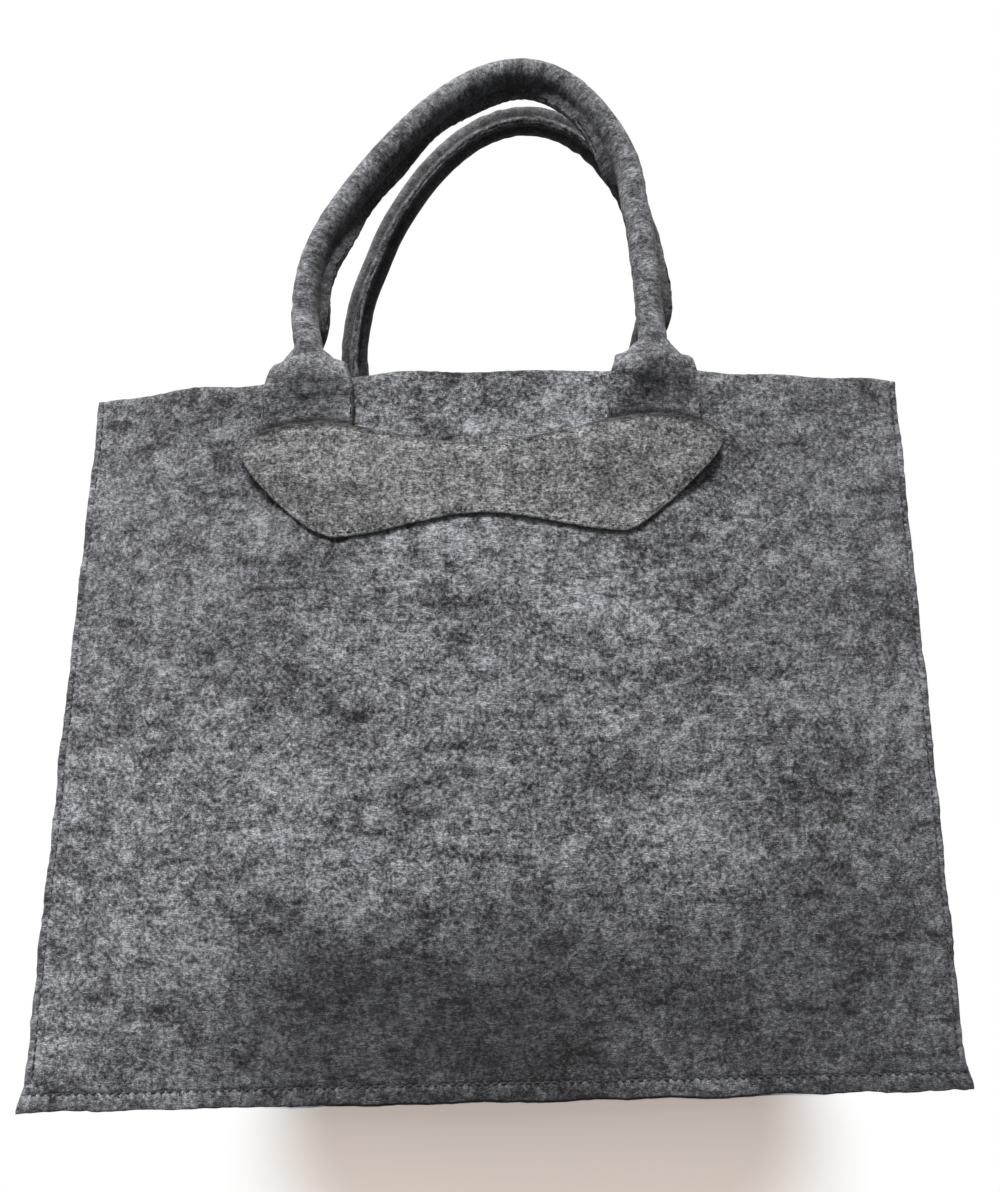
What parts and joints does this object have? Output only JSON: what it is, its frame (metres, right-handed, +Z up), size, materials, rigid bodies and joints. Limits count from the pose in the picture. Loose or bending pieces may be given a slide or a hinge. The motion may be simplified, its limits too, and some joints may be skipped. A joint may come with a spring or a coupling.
{
  "type": "knitting bag",
  "caption": "Open-topped felt tote for knitting, with folding side panels, a curved patch over the handle ends on each face, and rolled felt handles that swing.",
  "frame": {"origin": "middle of the bag's bottom, on the surface that it stands on", "axes": "+Z up, -Y towards the front panel, +X to the right as the front panel is looked at"},
  "size_m": [0.404, 0.1544, 0.4735],
  "materials": {
    "body_felt": "mottled charcoal wool felt",
    "patch_felt": "mottled mid-grey wool felt",
    "core_rope": "undyed cotton rope",
    "thread": "dark grey sewing thread"
  },
  "bodies": {
    "bag": {"front_panel": "body_felt", "back_panel": "body_felt", "left_side_panel": "body_felt", "right_side_panel": "body_felt", "base_panel": "body_felt", "front_patch": "patch_felt", "back_patch": "patch_felt", "front_left_tab": "body_felt", "front_right_tab": "body_felt", "back_left_tab": "body_felt", "back_right_tab": "body_felt", "front_left_seam_thread": "thread", "front_right_seam_thread": "thread", "back_left_seam_thread": "thread", "back_right_seam_thread": "thread", "front_base_seam_thread": "thread", "back_base_seam_thread": "thread", "left_base_seam_thread": "thread", "right_base_seam_thread": "thread", "front_patch_thread": "thread", "back_patch_thread": "thread"},
    "front_handle": {"front_handle_cover": "body_felt", "front_handle_core": "core_rope", "front_handle_thread": "thread"},
    "back_handle": {"back_handle_cover": "body_felt", "back_handle_core": "core_rope", "back_handle_thread": "thread"}
  },
  "joints": [
    {"name": "front_handle_swing", "type": "hinge", "parent": "bag", "child": "front_handle", "pos_m": [0.001, -0.06095, 0.313], "axis": [1, 0, 0], "range_deg": [-3, 168]},
    {"name": "back_handle_swing", "type": "hinge", "parent": "bag", "child": "back_handle", "pos_m": [0.008, 0.06026, 0.313], "axis": [-1, 0, 0], "range_deg": [-11, 160]}
  ]
}
